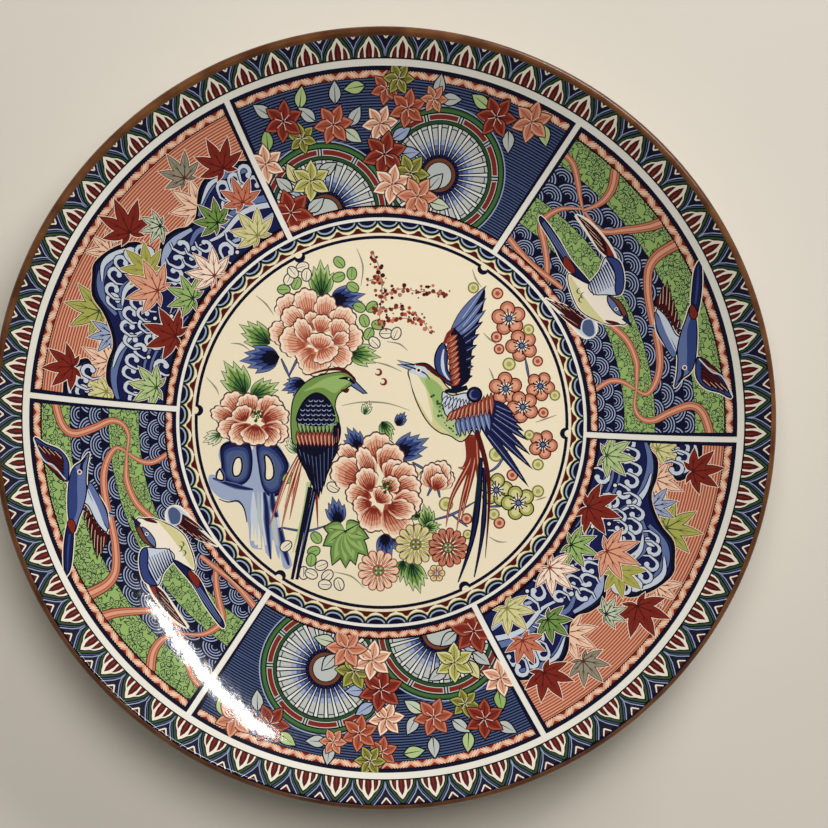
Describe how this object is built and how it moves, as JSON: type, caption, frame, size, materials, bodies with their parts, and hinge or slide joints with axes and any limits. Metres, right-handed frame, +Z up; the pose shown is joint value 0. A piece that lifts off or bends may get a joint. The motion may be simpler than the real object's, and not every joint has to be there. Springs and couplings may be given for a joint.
{
  "type": "dinner plate",
  "caption": "Round porcelain plate on a low foot ring, with a flat well, a wall that steepens to a brown-glazed lip, and enamelled decoration over the whole upper side.",
  "frame": {"origin": "centre of the foot ring's resting plane, on the plate's axis", "axes": "+Z up along the plate's axis, out of the decorated side; +Y towards the top of the centre picture; +X to its right"},
  "size_m": [0.305, 0.305, 0.043],
  "materials": {
    "white_glaze": "clear gloss glaze on white porcelain",
    "bare_foot": "unglazed, fine and matt",
    "brown_rim": "brushed brown glaze, glossy, uneven",
    "medallion_enamels": "gloss enamels on a cream ground",
    "band_enamels": "gloss enamels on a navy ground",
    "border_enamels": "gloss enamels on a navy ground",
    "birds_enamels": "gloss enamels, green and navy bands",
    "wheels_enamels": "gloss enamels on a hatched navy ground",
    "maples_enamels": "gloss enamels on a hatched red ground"
  },
  "bodies": {
    "root": {"porcelain_body": "white_glaze", "foot_ring": "bare_foot", "rim_band": "brown_rim", "centre_medallion": "medallion_enamels", "scallop_band": "band_enamels", "lotus_border": "border_enamels", "birds_panel_1": "birds_enamels", "birds_panel_2": "birds_enamels", "wheels_panel_1": "wheels_enamels", "wheels_panel_2": "wheels_enamels", "maples_panel_1": "maples_enamels", "maples_panel_2": "maples_enamels"}
  },
  "joints": []
}
